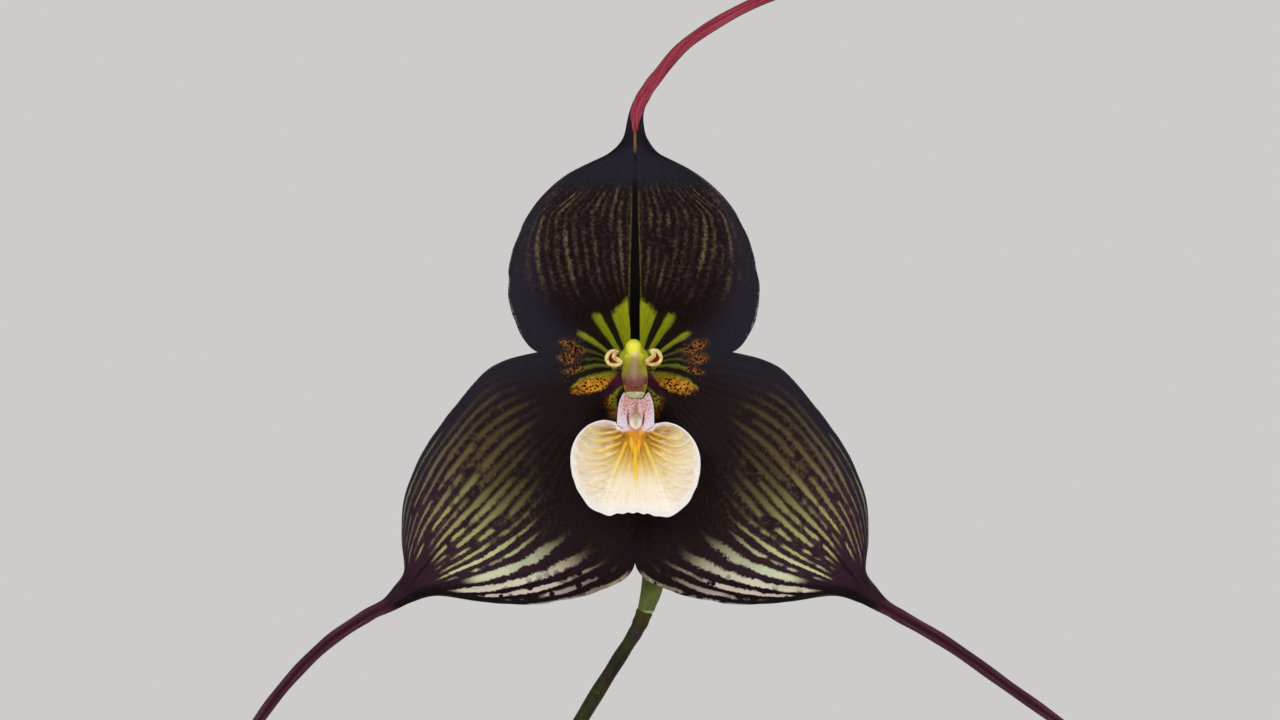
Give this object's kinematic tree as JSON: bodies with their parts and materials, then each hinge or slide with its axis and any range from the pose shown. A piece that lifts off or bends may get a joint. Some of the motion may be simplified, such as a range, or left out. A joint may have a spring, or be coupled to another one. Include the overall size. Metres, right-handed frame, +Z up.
{
  "type": "potted dracula orchid",
  "caption": "Potted dracula orchid: a clay pot of sphagnum moss, a tuft of keeled strap leaves, and a slender stalk with a dark striped flower that has long tails and a gilled, shell-like lip.",
  "frame": {"origin": "centre of the pot's flat foot, on the surface that it stands on", "axes": "+Z up, -Y the way the flower faces, +X to the flower's right as it is looked at"},
  "size_m": [0.2742, 0.202, 0.3673],
  "materials": {
    "clay": "matte",
    "moss": "matte",
    "root": "matte",
    "leaf": "satin",
    "stalk": "satin",
    "bract": "satin",
    "ovary": "satin",
    "sepal": "satin",
    "column": "satin",
    "anther": "satin",
    "petal": "satin",
    "claw": "satin",
    "lip": "satin"
  },
  "bodies": {
    "root": {"pot": "clay", "moss_fill": "moss", "rhizome_and_roots": "root", "leaf_1": "leaf", "leaf_2": "leaf", "leaf_3": "leaf", "leaf_4": "leaf", "leaf_5": "leaf", "leaf_6": "leaf", "leaf_7": "leaf", "leaf_8": "leaf", "leaf_9": "leaf", "leaf_10": "leaf", "flower_stalk": "stalk", "floral_bract": "bract", "pedicel_and_ovary": "ovary", "dorsal_sepal": "sepal", "lateral_sepal_left": "sepal", "lateral_sepal_right": "sepal", "column": "column", "anther_cap": "anther", "petal_left": "petal", "petal_right": "petal", "lip_claw": "claw", "lip_blade": "lip"}
  },
  "joints": []
}
